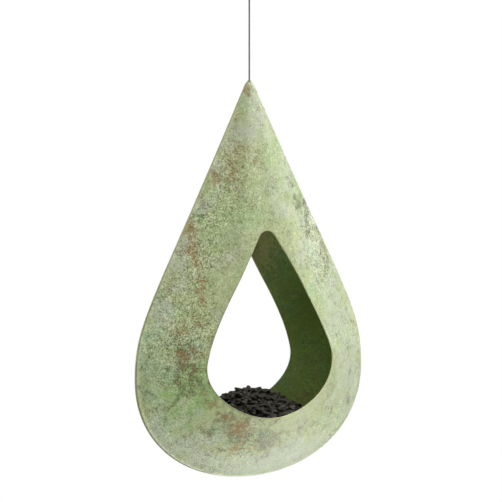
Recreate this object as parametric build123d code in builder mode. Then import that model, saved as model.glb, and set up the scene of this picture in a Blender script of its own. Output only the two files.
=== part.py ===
from build123d import *

import os
from math import asin, cos, degrees, pi, radians, sin, sqrt, tan

# Hanging teardrop bird feeder: two dished teardrop halves welded round their edge, an opening
# through both, seed in the bowl, and one wire rope from the tip to an S hook.
# Millimetres. +Z is up and the front faces -Y. The origin is the hanging point: the inside of
# the S hook's upper bend. "Below" means down from the tip of the body.

# ---- body -------------------------------------------------------------------------------
body_height = 400.0
body_half_width = 138.9
belly_below = 294.5  # where the body is widest
tip_radius = 4.5
tip_half_angle = 27.4
flank_lead = 249.0  # how far the flank keeps the tip's direction
flank_arrival = 61.5
bowl_lead = 65.8
bowl_arrival = 75.5
wall = 1.5

# How far each half is dished: a rounded edge at the seam, then a flank that rises to a crest.
dish_depth = 41.0
dish_power = 1.1
edge_radius = 3.5
edge_share = 0.035  # the part of the way to the crest that the rounded edge takes
edge_steps = [0, 0.2, 0.55]  # contours in the rounded edge, as parts of edge_share
flank_steps = [edge_share, 0.09, 0.18, 0.32, 0.5, 0.7, 0.86, 1]
crest_top_below = 234.0
crest_radius = 57.0
crest_half_angle = 30.0
crest_half_width = 61.2
crest_belly_below = 275.5
crest_flank_lead = 6.0
crest_flank_arrival = 4.4
crest_bowl_lead = 33.3
crest_bowl_arrival = 34.3
crest_bottom_below = 334.0

# ---- opening ----------------------------------------------------------------------------
opening_top_below = 149.0
opening_top_radius = 11.5
opening_half_angle = 32.3
opening_half_width = 77.2
opening_belly_below = 282.0
opening_flank_lead = 49.3
opening_flank_arrival = 23.9
opening_bowl_lead = 32.1
opening_bowl_arrival = 32.2
opening_bottom_below = 336.5

# ---- seam weld --------------------------------------------------------------------------
weld_depth = 0.8
weld_half_width = 0.8

# ---- wire rope and what holds it at the tip ---------------------------------------------
wire_diameter = 1.8
wire_clearance = 0.25
bush_stem_diameter = 3.6
bush_collar_diameter = 5.6
bush_stem_length = 9.0
bush_collar_length = 5.0
bush_proud = 0.2
washer_diameter = 8.0
washer_thickness = 1.0
running_gap = 0.3
stop_diameter = 4.0
stop_length = 7.0
stop_chamfer = 0.4
wire_tail = 1.0  # wire left below the stop ferrule
bare_wire = 86.0  # from the tip up to the loop ferrule

# ---- loop and its ferrule ---------------------------------------------------------------
loop_length = 29.7
loop_ferrule_length = 6.4
loop_ferrule_wall = 0.9
loop_ferrule_round = 0.5
wires_apart = 0.2  # between the two wires in the ferrule

# ---- S hook -----------------------------------------------------------------------------
hook_wire_diameter = 3.2
hook_upper_inner_radius = 8.0
hook_lower_inner_radius = 5.0
hook_seat_distance = 39.0  # from the upper bend's inside to the lower bend's inside
hook_overrun = 25.0  # degrees that each bend runs on past its half circle

# ---- seed -------------------------------------------------------------------------------
seed_top_below = 311.0
seed_wall_clearance = 0.6
# Half sizes of the heap along X and along Y, at drops below its top.
heap_levels = [(0.4, 6, 4), (2, 14, 10), (8, 29, 21), (16, 44, 31), (25, 60, 41), (50, 104, 72), (85, 165, 118)]

# ---- heights, worked out from the hook down ----------------------------------------------
wire_radius = wire_diameter / 2
wire_pitch = wire_diameter + wires_apart
hook_radius = hook_wire_diameter / 2
loop_apex_z = -hook_seat_distance + wire_radius + running_gap
loop_ferrule_top_z = loop_apex_z - loop_length
loop_ferrule_bottom_z = loop_ferrule_top_z - loop_ferrule_length
tip_z = loop_ferrule_bottom_z - bare_wire
bush_bottom_z = tip_z - bush_stem_length - bush_collar_length
washer_bottom_z = bush_bottom_z - washer_thickness
stop_top_z = washer_bottom_z - running_gap
stop_bottom_z = stop_top_z - stop_length
wire_bottom_z = stop_bottom_z - wire_tail
passage_diameter = wire_diameter + 2 * wire_clearance

os.makedirs("parts", exist_ok=True)


def teardrop(top, radius, half_angle, half_width, belly, lead, arrival, bowl_lead, bowl_arrival, bottom):
    """Ten points of a teardrop's right half, as (x, distance below the tip): a round top, a
    flank and the bowl, each a cubic Bezier curve that starts at the last one's end."""
    angle = radians(half_angle)
    along = (sin(angle), cos(angle))
    reach = radius * 4 / 3 * tan((pi / 2 - angle) / 4)
    start = (radius * cos(angle), top + radius * (1 - sin(angle)))
    return [
        (0, top),
        (reach, top),
        (start[0] - along[0] * reach, start[1] - along[1] * reach),
        start,
        (start[0] + along[0] * lead, start[1] + along[1] * lead),
        (half_width, belly - arrival),
        (half_width, belly),
        (half_width, belly + bowl_lead),
        (bowl_arrival, bottom),
        (0, bottom),
    ]


def seam_outline(inset):
    """The body's outline on the seam plane, moved inwards by inset."""
    return teardrop(
        inset,
        tip_radius - inset,
        tip_half_angle,
        body_half_width - inset,
        belly_below,
        flank_lead,
        flank_arrival,
        bowl_lead,
        bowl_arrival,
        body_height - inset,
    )


crest_outline = teardrop(
    crest_top_below,
    crest_radius,
    crest_half_angle,
    crest_half_width,
    crest_belly_below,
    crest_flank_lead,
    crest_flank_arrival,
    crest_bowl_lead,
    crest_bowl_arrival,
    crest_bottom_below,
)

opening_outline = teardrop(
    opening_top_below,
    opening_top_radius,
    opening_half_angle,
    opening_half_width,
    opening_belly_below,
    opening_flank_lead,
    opening_flank_arrival,
    opening_bowl_lead,
    opening_bowl_arrival,
    opening_bottom_below,
)


def face_inside(outline, plane):
    """The face on a plane that lies inside an outline and its mirror image. Its six edges stay
    apart, so that every contour of a loft has the same ones."""
    points = [plane.from_local_coords((x, tip_z - below)) for x, below in outline]
    right = [Bezier(*points[first : first + 4], mode=Mode.PRIVATE) for first in (0, 3, 6)]
    left = [edge.mirror(Plane.YZ) for edge in right]
    return Face(Wire(right + left))


def dish(side, inset, mode=Mode.ADD):
    """One half of the body, or of the space inside it where inset is more than nothing. Its
    contours go from the seam's outline to the crest's, in planes that step away from the seam."""
    outer = seam_outline(inset)
    levels = []
    for share in [step * edge_share for step in edge_steps] + flank_steps:
        round_part = min(share / edge_share, 1)
        edge = (edge_radius - inset) * sqrt(1 - (1 - round_part) ** 2)
        depth = edge + dish_depth * (1 - (1 - share) ** dish_power)
        contour = [
            (a[0] + (b[0] - a[0]) * share, a[1] + (b[1] - a[1]) * share)
            for a, b in zip(outer, crest_outline)
        ]
        levels.append(face_inside(contour, Plane.XZ.offset(side * depth)))
    loft(levels, mode=mode)


def weld_ring(mode=Mode.ADD):
    """The groove round the outside of the seam, which the weld fills."""
    plates = [
        extrude(face_inside(seam_outline(inset), Plane.XZ), weld_half_width, both=True, mode=Mode.PRIVATE)
        for inset in (0, weld_depth)
    ]
    add(plates[0] - plates[1], mode=mode)


def tip_hole():
    """The hole that the bush's stem goes down through."""
    with BuildSketch(Plane.XY.offset(tip_z - bush_stem_length)) as hole:
        Circle(bush_stem_diameter / 2)
    extrude(hole.sketch, amount=bush_stem_length + 2 * tip_radius, mode=Mode.SUBTRACT)


def save(piece, name):
    piece.part.label = name
    export_step(piece.part, f"parts/{name}.step")


# ---- front and rear shells --------------------------------------------------------------
for shell_name, side in (("front_shell", 1), ("rear_shell", -1)):
    with BuildPart() as shell:
        dish(side, 0)
        dish(side, wall, mode=Mode.SUBTRACT)
        opening = face_inside(opening_outline, Plane.XZ)
        extrude(opening, amount=2 * (dish_depth + edge_radius), both=True, mode=Mode.SUBTRACT)
        weld_ring(mode=Mode.SUBTRACT)
        tip_hole()
    save(shell, shell_name)

# ---- seam weld --------------------------------------------------------------------------
with BuildPart() as seam_weld:
    weld_ring()
    tip_hole()
save(seam_weld, "seam_weld")

# ---- tip bush: a stem in the tip's hole and a collar under it ----------------------------
with BuildPart() as tip_bush:
    with BuildSketch(Plane.XY.offset(bush_bottom_z)):
        Circle(bush_collar_diameter / 2)
    extrude(amount=bush_collar_length)
    with BuildSketch(Plane.XY.offset(bush_bottom_z)):
        Circle(bush_stem_diameter / 2)
    extrude(amount=bush_collar_length + bush_stem_length + bush_proud)
    fillet(tip_bush.edges().sort_by(Axis.Z)[-1], bush_proud)
    with BuildSketch(Plane.XY.offset(bush_bottom_z)):
        Circle(passage_diameter / 2)
    extrude(amount=bush_collar_length + bush_stem_length + bush_proud, mode=Mode.SUBTRACT)
save(tip_bush, "tip_bush")

# ---- stop washer ------------------------------------------------------------------------
with BuildPart() as stop_washer:
    with BuildSketch(Plane.XY.offset(washer_bottom_z)):
        Circle(washer_diameter / 2)
        Circle(passage_diameter / 2, mode=Mode.SUBTRACT)
    extrude(amount=washer_thickness)
save(stop_washer, "stop_washer")

# ---- stop ferrule: crimped on the wire's lower end ---------------------------------------
with BuildPart() as stop_ferrule:
    with BuildSketch(Plane.XY.offset(stop_bottom_z)):
        Circle(stop_diameter / 2)
    extrude(amount=stop_length)
    chamfer(stop_ferrule.edges(), stop_chamfer)
    with BuildSketch(Plane.XY.offset(stop_bottom_z)):
        Circle(wire_radius)
    extrude(amount=stop_length, mode=Mode.SUBTRACT)
save(stop_ferrule, "stop_ferrule")

# ---- hanging wire -----------------------------------------------------------------------
# The loop lies in the YZ plane. Each point is (y, height above the loop's apex).
loop_route = [
    (0.0, -24.4),
    (-4.9, -13.7),
    (-6.33, -6.7),
    (-5.39, -2.61),
    (-2.1, 0.0),
    (2.1, 0.0),
    (5.39, -2.61),
    (6.33, -6.7),
    (5.6, -13.2),
    (wire_pitch, -24.4),
]
wire_route = [(0.0, wire_bottom_z - loop_apex_z), *loop_route, (wire_pitch, -loop_length - loop_ferrule_length)]


def arc_radii(route):
    """The largest tangent arc at each corner: 0.45 of the shorter run, over the tangent of half
    the turn."""
    radii = []
    for before, corner, after in zip(route, route[1:], route[2:]):
        run_in = Vector(corner[0] - before[0], corner[1] - before[1])
        run_out = Vector(after[0] - corner[0], after[1] - corner[1])
        turn = run_in.get_angle(run_out)
        radii.append(0.45 * min(run_in.length, run_out.length) / tan(radians(turn) / 2))
    return radii


with BuildPart() as hanging_wire:
    with BuildLine(Plane.YZ.offset(0)) as wire_line:
        route_points = [(y, loop_apex_z + above) for y, above in wire_route]
        FilletPolyline(*route_points, radius=arc_radii(wire_route))
    with BuildSketch(Plane.XY.offset(wire_bottom_z)):
        Circle(wire_radius)
    sweep(path=wire_line.wires()[0])
save(hanging_wire, "hanging_wire")
print("wire arcs, mm:", [round(radius, 2) for radius in arc_radii(wire_route)])
print(
    "wire length, mm:",
    round(wire_line.wires()[0].length, 1),
    "volume over section:",
    round(hanging_wire.part.volume / (pi * wire_radius**2), 1),
)

# ---- loop ferrule: an oval sleeve crimped on both wires of the loop ----------------------
with BuildPart() as loop_ferrule:
    with BuildSketch(Plane.XY.offset(loop_ferrule_bottom_z)):
        with Locations((0, wire_pitch / 2)):
            SlotCenterToCenter(wire_pitch, wire_diameter + 2 * loop_ferrule_wall, rotation=90)
    extrude(amount=loop_ferrule_length)
    fillet(loop_ferrule.edges().filter_by(GeomType.LINE, reverse=True), loop_ferrule_round)
    with BuildSketch(Plane.XY.offset(loop_ferrule_bottom_z)):
        with Locations((0, 0), (0, wire_pitch)):
            Circle(wire_radius)
    extrude(amount=loop_ferrule_length, mode=Mode.SUBTRACT)
save(loop_ferrule, "loop_ferrule")

# ---- S hook -----------------------------------------------------------------------------
upper_radius = hook_upper_inner_radius + hook_radius
lower_radius = hook_lower_inner_radius + hook_radius
upper_z = -hook_upper_inner_radius
lower_z = -hook_seat_distance + hook_lower_inner_radius
lean = degrees(asin((upper_radius + lower_radius) / (upper_z - lower_z)))

with BuildPart() as s_hook:
    with BuildLine(Plane.XZ) as hook_line:
        upper_bend = CenterArc((0, upper_z), upper_radius, -hook_overrun, 180 + lean + hook_overrun)
        lower_bend = CenterArc((0, lower_z), lower_radius, lean, -180 - lean - hook_overrun)
        Line(upper_bend @ 1, lower_bend @ 0)
    with BuildSketch(Plane(origin=upper_bend @ 0, z_dir=upper_bend % 0)):
        Circle(hook_radius)
    sweep(path=hook_line.wires()[0])
    with Locations(upper_bend @ 0, lower_bend @ 1):
        Sphere(hook_radius)
save(s_hook, "s_hook")

# ---- seed -------------------------------------------------------------------------------
with BuildPart() as seed_fill:
    for side in (1, -1):
        dish(side, wall + seed_wall_clearance)
    heap = []
    for drop, half_x, half_y in heap_levels:
        with BuildSketch(Plane.XY.offset(tip_z - seed_top_below - drop)) as level:
            Ellipse(half_x, half_y)
        heap.append(level.sketch)
    loft(heap, mode=Mode.INTERSECT)
save(seed_fill, "seed_fill")
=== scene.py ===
# %% [markdown]
# # A hanging teardrop bird feeder
#
# The real thing is two dished halves of thin sheet metal, welded round their edge into a hollow
# teardrop. A teardrop opening goes through both halves, black sunflower seed lies in the bowl, and
# one thin wire rope holds it all by the tip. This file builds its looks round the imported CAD
# model, which arrives first and stays where it is.

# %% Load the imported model
import math

import bpy
import numpy as np
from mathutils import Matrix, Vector, noise
from mathutils.kdtree import KDTree


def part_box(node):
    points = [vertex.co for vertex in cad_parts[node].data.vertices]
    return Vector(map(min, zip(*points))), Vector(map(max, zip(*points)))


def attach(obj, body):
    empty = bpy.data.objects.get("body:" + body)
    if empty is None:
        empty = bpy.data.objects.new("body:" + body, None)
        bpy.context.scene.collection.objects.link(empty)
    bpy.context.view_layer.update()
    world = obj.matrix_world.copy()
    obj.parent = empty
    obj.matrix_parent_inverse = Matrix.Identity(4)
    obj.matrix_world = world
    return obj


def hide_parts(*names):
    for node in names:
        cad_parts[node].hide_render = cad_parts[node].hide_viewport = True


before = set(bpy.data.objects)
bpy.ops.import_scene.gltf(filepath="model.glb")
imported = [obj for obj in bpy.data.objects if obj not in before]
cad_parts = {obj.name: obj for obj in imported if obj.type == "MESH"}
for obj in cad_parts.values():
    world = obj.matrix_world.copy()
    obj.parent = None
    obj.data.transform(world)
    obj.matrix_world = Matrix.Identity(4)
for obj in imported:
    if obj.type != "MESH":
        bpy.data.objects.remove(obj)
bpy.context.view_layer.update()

MM = 0.001

# %% [markdown]
# ## Camera
#
# A long lens from six metres away shows the feeder almost without perspective, so upright edges
# stay upright. The camera stands to the left of the front and a little above it.

# %% Camera
body_height = 400 * MM
tip = Vector((0, 0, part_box("seam_weld")[0].z + body_height))
camera_azimuth = math.radians(-35.5)
camera_elevation = math.radians(5.65)
camera_distance = 6.0
view_width = 0.505  # what the frame spans at the feeder
aim_below_tip = 171.7 * MM
aim_right = 1.7 * MM


def away_from_feeder(azimuth, elevation):
    """The direction to a camera or lamp. Azimuth 0 is the front, and a quarter turn the right."""
    return Vector((
        math.sin(azimuth) * math.cos(elevation),
        -math.cos(azimuth) * math.cos(elevation),
        math.sin(elevation),
    ))


back = away_from_feeder(camera_azimuth, camera_elevation)
to_the_right = Vector((math.cos(camera_azimuth), math.sin(camera_azimuth), 0))
aim = tip - Vector((0, 0, aim_below_tip)) + to_the_right * aim_right

camera = bpy.data.objects.new("camera", bpy.data.cameras.new("camera"))
bpy.context.scene.collection.objects.link(camera)
camera.data.lens = camera.data.sensor_width * camera_distance / view_width
camera.data.clip_end = 100
camera.location = aim + back * camera_distance
camera.rotation_mode = "QUATERNION"
camera.rotation_quaternion = (-back).to_track_quat("-Z", "Y")
bpy.context.scene.camera = camera
print("lens, mm:", round(camera.data.lens))

# %% [markdown]
# ## Points into faces
#
# Every piece below is worked out as a grid of points: rows along one direction, columns along the
# other. One helper turns such a grid into four-sided faces, so the pieces only have to say where
# their points are. A grid may close on itself either way, as it does round a tube.


# %% Faces of a grid
def grid_faces(rows, columns, close_rows=False, close_columns=False):
    """The quads of a grid whose points are numbered row by row."""
    r = np.arange(rows if close_rows else rows - 1)
    c = np.arange(columns if close_columns else columns - 1)
    r, c = np.meshgrid(r, c, indexing="ij")
    r1 = (r + 1) % rows
    c1 = (c + 1) % columns
    corners = (r * columns + c, r * columns + c1, r1 * columns + c1, r1 * columns + c)
    return np.stack(corners, axis=-1).reshape(-1, 4)


print("faces of a grid of 3 by 4 points:", len(grid_faces(3, 4)))

# %% [markdown]
# ## Pieces
#
# A new piece is a mesh object that rides on a body of the CAD model. It shades the mesh smooth, so
# the grid's small facets don't show.


# %% Make a piece
def make_piece(name, points, faces, body, slot_name):
    """A smooth mesh object that rides on a body. Its slot_name is not used."""
    mesh = bpy.data.meshes.new(name)
    faces = [tuple(int(i) for i in face) for face in faces]
    mesh.from_pydata([tuple(p) for p in np.asarray(points, float)], [], faces)
    mesh.shade_smooth()
    piece = bpy.data.objects.new(name, mesh)
    bpy.context.scene.collection.objects.link(piece)
    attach(piece, body)
    print(name, "faces:", len(mesh.polygons))
    return piece


print("pieces of the CAD model:", sorted(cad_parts))

# %% [markdown]
# ## Tubes
#
# The rope's strands and the weld bead are round bars that follow a line. A curve with a bevel
# would do for a plain bar. This tube may also change its thickness from point to point, and its
# section is carried along the line without turning about it, so its faces never twist.


# %% A tube along a line
def tube(line, radius, sides):
    """The points and faces of a tube with closed ends. radius is one number, or one for each
    point of the line."""
    line = np.asarray(line, float)
    ahead = np.gradient(line, axis=0)
    ahead /= np.linalg.norm(ahead, axis=1)[:, None]
    across = np.zeros_like(line)
    side = np.cross(ahead[0], (0.3, 0.9, 0.2))
    for i, direction in enumerate(ahead):
        side = side - direction * (side @ direction)
        side /= np.linalg.norm(side)
        across[i] = side
    up = np.cross(ahead, across)
    angle = np.linspace(0, 2 * np.pi, sides, endpoint=False)
    radius = np.broadcast_to(radius, len(line))[:, None, None]
    ring = across[:, None] * np.cos(angle)[:, None] + up[:, None] * np.sin(angle)[:, None]
    points = (line[:, None] + ring * radius).reshape(-1, 3)
    faces = [list(f) for f in grid_faces(len(line), sides, False, True)]
    faces.append(list(range(sides))[::-1])
    faces.append(list(range(len(points) - sides, len(points))))
    return points, faces


print("faces of a tube of one length:", len(tube([(0, 0, 0), (0, 0, 1)], 0.1, 8)[1]))

# %% [markdown]
# ## The rope's route
#
# The real rope carries the feeder's weight, so it is dead straight from the stop ferrule inside
# the tip up to the loop that hangs in the hook. Its route is the CAD model's own list of points,
# drawn as one smooth NURBS curve, and the strands follow points read from that curve.

# %% Points of the route
rope_diameter = 1.8 * MM
loop_apex_z = -37.8 * MM
# Each point is (y, height above the loop's apex), in millimetres. The second is the one that is
# added on the straight run, six diameters below the loop.
rope_route = [
    (0.0, -145.4),
    (0.0, -35.4),
    (0.0, -24.4),
    (-4.9, -13.7),
    (-6.33, -6.7),
    (-5.39, -2.61),
    (-2.1, 0.0),
    (2.1, 0.0),
    (5.39, -2.61),
    (6.33, -6.7),
    (5.6, -13.2),
    (2.0, -24.4),
    (2.0, -36.1),
]

curve = bpy.data.curves.new("rope_route", "CURVE")
curve.dimensions = "3D"
spline = curve.splines.new("NURBS")
spline.points.add(len(rope_route) - 1)
for point, (y, above) in zip(spline.points, rope_route):
    point.co = (0, y * MM, loop_apex_z + above * MM, 1)
spline.order_u = 3
spline.use_endpoint_u = True
spline.resolution_u = 24
route_holder = bpy.data.objects.new("rope_route", curve)
route_mesh = bpy.data.meshes.new_from_object(route_holder)
route_points = np.array([v.co for v in route_mesh.vertices])
bpy.data.objects.remove(route_holder)
route_steps = np.linalg.norm(np.diff(route_points, axis=0), axis=1)
rope_length = float(route_steps.sum())
print("rope length, m:", round(rope_length, 4))

# %% [markdown]
# ## Stations along the rope
#
# The strands need evenly spaced places along the route, and at each place two directions square
# to the rope, to swing round it. The route lies in one upright plane, so the X axis is one of
# them everywhere and the other follows from it.

# %% Even stations
lay_length = 8 * rope_diameter  # one turn of a strand round the rope
stations_in_a_turn = 26
station_step = lay_length / stations_in_a_turn
travelled = np.concatenate([[0], np.cumsum(route_steps)])
stations = np.linspace(0, rope_length, round(rope_length / station_step))
rope_line = np.stack([np.interp(stations, travelled, route_points[:, k]) for k in range(3)], axis=1)
rope_ahead = np.gradient(rope_line, axis=0)
rope_ahead /= np.linalg.norm(rope_ahead, axis=1)[:, None]
rope_side = np.tile((1.0, 0, 0), (len(rope_line), 1))
rope_up = np.cross(rope_ahead, rope_side)
print("stations along the rope:", len(rope_line))

# %% [markdown]
# ## Strands
#
# A wire rope is six strands wound round a seventh. One plain tube would do from far away, but the
# twist is what says "wire rope" from near, and seven thin tubes in one mesh cost little. All
# seven strands have the same thickness, a third of the rope's.


# %% Strands
def joined(parts):
    """Several (points, faces) as one."""
    all_points, all_faces, count = [], [], 0
    for points, faces in parts:
        all_points.append(points)
        all_faces += [[i + count for i in face] for face in faces]
        count += len(points)
    return np.concatenate(all_points), all_faces


strand_diameter = rope_diameter / 3
strand_sides = 8
outer_strands = 6
strands = [tube(rope_line, strand_diameter / 2, strand_sides)]
for k in range(outer_strands):
    turn = (2 * np.pi * (stations / lay_length + k / outer_strands))[:, None]
    offset = (rope_side * np.cos(turn) + rope_up * np.sin(turn)) * strand_diameter
    strands.append(tube(rope_line + offset, strand_diameter / 2, strand_sides))
wire_rope = make_piece("wire_rope", *joined(strands), "wire", "wire")
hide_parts("hanging_wire")
print("strands:", len(strands))

# %% [markdown]
# ## Where the rope leaves the tip
#
# The rope is taut between the tip and the hook.

print("the rope leaves the tip at z, m:", round(tip.z, 4))

# %% [markdown]
# ## A teardrop outline
#
# The seam, the crest of the dish and the opening are all teardrops: a rounded top, an even
# flank, a belly and a round bowl. One function draws the right half of any of them from a few
# sizes, as three Bezier curves end to end, and the left half is its mirror image.


# %% One teardrop
def teardrop(
    top, radius, half_angle, half_width, belly, lead, arrival, bowl_lead, bowl_arrival, bottom
):
    """The right half of a teardrop as ten Bezier points, (x, distance below the tip). The sizes
    are in millimetres, and the flank stands at half_angle degrees to the upright. The belly is
    where it is widest. lead and arrival are the lengths of the flank's two handles, bowl_lead and
    bowl_arrival those of the bowl's."""
    angle = math.radians(half_angle)
    along = np.array((math.sin(angle), math.cos(angle)))
    reach = radius * 4 / 3 * math.tan((math.pi / 2 - angle) / 4)
    start = np.array((radius * math.cos(angle), top + radius * (1 - math.sin(angle))))
    return np.array([
        (0, top),
        (reach, top),
        start - along * reach,
        start,
        start + along * lead,
        (half_width, belly - arrival),
        (half_width, belly),
        (half_width, belly + bowl_lead),
        (bowl_arrival, bottom),
        (0, bottom),
    ]) * MM


def on_outline(points, t):
    """Where t is on a right half: 0 at its top, then one curve for each whole number, 3 at its
    bottom."""
    curve_number = np.clip(np.floor(t).astype(int), 0, 2)
    u = (t - curve_number)[:, None]
    a, b, c, d = (points[curve_number * 3 + k] for k in range(4))
    return a * (1 - u) ** 3 + 3 * b * u * (1 - u) ** 2 + 3 * c * u**2 * (1 - u) + d * u**3


print("points of a teardrop:", len(teardrop(0, 5, 30, 60, 100, 50, 20, 20, 20, 150)))

# %% [markdown]
# ## The three outlines
#
# Both halves are the same pressing. Two outlines rule its shape: the seam's, flat on the middle
# plane, and the crest's, where the dish would be deepest. The third is cut out of it for the
# opening. They are the CAD model's own, so the skin will lie where the solid is.


# %% Seam, crest and opening
def seam_outline(inset):
    """The body's outline on the middle plane, moved inwards by inset millimetres."""
    return teardrop(
        top=inset,
        radius=4.5 - inset,
        half_angle=27.4,
        half_width=138.9 - inset,
        belly=294.5,
        lead=249,
        arrival=61.5,
        bowl_lead=65.8,
        bowl_arrival=75.5,
        bottom=400 - inset,
    )


crest_outline = teardrop(
    top=234,
    radius=57,
    half_angle=30,
    half_width=61.2,
    belly=275.5,
    lead=6,
    arrival=4.4,
    bowl_lead=33.3,
    bowl_arrival=34.3,
    bottom=334,
)
opening_outline = teardrop(
    top=149,
    radius=11.5,
    half_angle=32.3,
    half_width=77.2,
    belly=282,
    lead=49.3,
    arrival=23.9,
    bowl_lead=32.1,
    bowl_arrival=32.2,
    bottom=336.5,
)
outlines = {"seam": seam_outline(0), "crest": crest_outline, "opening": opening_outline}
for name, outline in outlines.items():
    print(name, "half width, mm:", round(outline[:, 0].max() / MM, 1))

# %% [markdown]
# ## The skin of a half
#
# Each point of the skin lies on the straight line from the seam's outline to the crest's, and its
# depth depends on how far along that line it is. Near the seam the sheet turns over a small
# radius, and from there it rises in a shallow curve. A rule like this gives the whole dish from a
# few sizes, where a sculpted mesh would have to be matched to the CAD model by eye.

# %% Depth of the skin
wall = 1.5  # mm
edge_radius = 3.5 * MM
edge_share = 0.035  # how far along the line the edge's rounding goes
dish_depth = 41 * MM
dish_power = 1.1


def skin(t, share, inset):
    """Points (x, depth, distance below the tip) on a half's outer skin, or on its inner skin
    where inset is the wall. share, how far along its line each point is, has one row of numbers
    for each row of the mesh."""
    start = on_outline(seam_outline(inset), t)
    flat = start + (on_outline(crest_outline, t) - start) * share[..., None]
    rounding = np.clip(share / edge_share, 0, 1)
    edge = (edge_radius - inset * MM) * np.sqrt(1 - (1 - rounding) ** 2)
    depth = edge + dish_depth * (1 - (1 - share) ** dish_power)
    return np.stack([flat[..., 0], depth, flat[..., 1]], axis=-1)


crest_depth = skin(np.array([2.0]), np.array([1.0]), 0)[0, 1]
print("depth at the crest, mm:", round(crest_depth / MM, 1))

# %% [markdown]
# ## Where the opening cuts the skin
#
# The skin has to stop at the opening's rim. A Boolean cut would leave ragged faces there. Instead
# each line of the skin is crossed with the opening's outline, seen from the front, so the mesh's
# last row runs exactly along the rim.


# %% Where each line meets the opening
rim_points = 1501  # how finely the opening is divided


def rim_shares(t, inset):
    """How far along its line, from seam to crest, each column meets the opening."""
    start = on_outline(seam_outline(inset), t)
    step = on_outline(crest_outline, t) - start
    rim = on_outline(opening_outline, np.linspace(0, 3, rim_points))
    a, b = rim[:-1], rim[1:] - rim[:-1]
    gap = a[None] - start[:, None]
    cross = step[:, None, 0] * b[None, :, 1] - step[:, None, 1] * b[None, :, 0]
    share = (gap[..., 0] * b[None, :, 1] - gap[..., 1] * b[None, :, 0]) / cross
    along = (gap[..., 0] * step[:, None, 1] - gap[..., 1] * step[:, None, 0]) / cross
    slack = 1e-6
    hit = (along >= -slack) & (along <= 1 + slack) & (share > 0) & (share <= 1)
    return np.where(hit, share, np.inf).min(axis=1)


print("shares at the top, belly and bottom:", rim_shares(np.array([0.0, 2.0, 3.0]), 0).round(3))

# %% [markdown]
# ## Columns
#
# Seen from the front, the mesh's columns fan out from the rim to the seam. They are spaced evenly
# where neighbours are furthest apart, so that no face is much wider than the rest.

# %% Even columns
half_columns = 360
fine_t = np.linspace(0, 3, 3001)
fine_rim = skin(fine_t, rim_shares(fine_t, 0), 0)
fine_seam = on_outline(seam_outline(0), fine_t)
rim_step = np.linalg.norm(np.diff(fine_rim, axis=0), axis=1)
seam_step = np.linalg.norm(np.diff(fine_seam, axis=0), axis=1)
spread = np.concatenate([[0], np.cumsum(np.maximum(rim_step, seam_step))])
column_t = np.interp(np.linspace(0, spread[-1], half_columns + 1), spread, fine_t)
print("length of the seam, mm:", round(2 * seam_step.sum() / MM))
print("length of the rim, mm:", round(2 * rim_step.sum() / MM))

# %% [markdown]
# ## Rows of a shell
#
# Each shell is one closed sheet of points: up the outside from the seam to the rim, round the
# rim's rolled lip, and back down the inside. The lip shows how thin the sheet is, so it gets a
# round section of its own with seven rows. Rows crowd together where the edge is rounded.

# %% Outside and inside
stem_hole_radius = 1.85 * MM  # the bush's stem goes down through the tip
stem_hole_depth = 14 * MM
lip_bulge = 0.55 * MM
outer_flank_rows = 56
inner_flank_rows = 42
rounding_rows = 7
edge_rows = edge_share * (1 - np.cos(np.linspace(0, np.pi / 2, rounding_rows)))


def half_shell_rows(inset, lip_share, flank_rows):
    """The rows of one skin, from the seam to just short of the rim."""
    end = rim_shares(column_t, inset) - lip_share
    flank = edge_share + (end - edge_share) * np.linspace(0, 1, flank_rows)[1:, None]
    rounding = np.repeat(edge_rows[:, None], len(column_t), axis=1)
    return skin(column_t, np.concatenate([rounding, flank]), inset)


# The lines differ in length, so the lip's share of each one differs too.
lines = on_outline(crest_outline, column_t) - on_outline(seam_outline(0), column_t)
line_length = np.linalg.norm(lines, axis=1)
lip_share = lip_bulge / line_length
outer = half_shell_rows(0, lip_share, outer_flank_rows)
inner = half_shell_rows(wall, lip_share, inner_flank_rows)
print("rows outside and inside:", len(outer), len(inner))

# %% [markdown]
# ## The rolled lip
#
# The rim is finished by rolling the cut edge round, so nothing sharp meets a bird's feet. Half an
# ellipse joins the outside's last row to the inside's, and bulges a little into the opening.

# %% Lip
to_opening = np.stack([lines[:, 0], 0 * line_length, lines[:, 1]], axis=1) / line_length[:, None]
middle = (outer[-1] + inner[-1]) / 2
half_gap = (outer[-1] - inner[-1]) / 2
lip_rows = 7
lip_angles = np.linspace(np.pi / 2, -np.pi / 2, lip_rows + 2)[1:-1]
bulge = to_opening * lip_bulge
lip = np.array([middle + half_gap * math.sin(a) + bulge * math.cos(a) for a in lip_angles])
rows = np.concatenate([outer, lip, inner[::-1]])
inside_starts = len(outer) + len(lip)
print("rows:", len(rows), " columns:", 2 * half_columns)

# %% [markdown]
# ## A groove for the weld
#
# Where the halves meet, their edges leave a shallow groove that the weld bead lies in. Pulling the
# skin in along the seam makes it. A bump in the material would be lighter, but it wouldn't show in
# the outline, and the bead needs real edges to lie between.

# %% Groove
groove_depth = 0.7 * MM
groove_half_width = 1.3 * MM
groove = np.clip(1 - (rows[..., 1] / groove_half_width) ** 2, 0, 1)
groove[inside_starts:] = 0
rows = rows + to_opening * (groove * groove_depth)[..., None]
print("deepest groove, mm:", round(groove.max() * groove_depth / MM, 2))

# %% [markdown]
# ## Where the finish wears, and where light and shade are painted
#
# Old finish shows its age in places, and some light and shade is painted on as well. The lip is
# painted pale on one side of the opening, partly a light edge and partly a painted highlight, and
# dark on the other, partly dirt and partly painted shade. A dark line follows the seam, darker
# towards the bottom: it is partly the dark joint and partly painted shade where the edge turns away
# from the light, and more painted shade lies on the rolled edge low down. A mask is a number at each
# vertex that a material can read, so these places follow the shape without any painting on the mesh.
# The same distances say where the sheet stays calm, because a maker trues up its edges.


# %% Masks from distances
def fade(value, start, end):
    """0 at start, 1 at end, in a straight line between them."""
    return np.clip((value - start) / (end - start), 0, 1)


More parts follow.
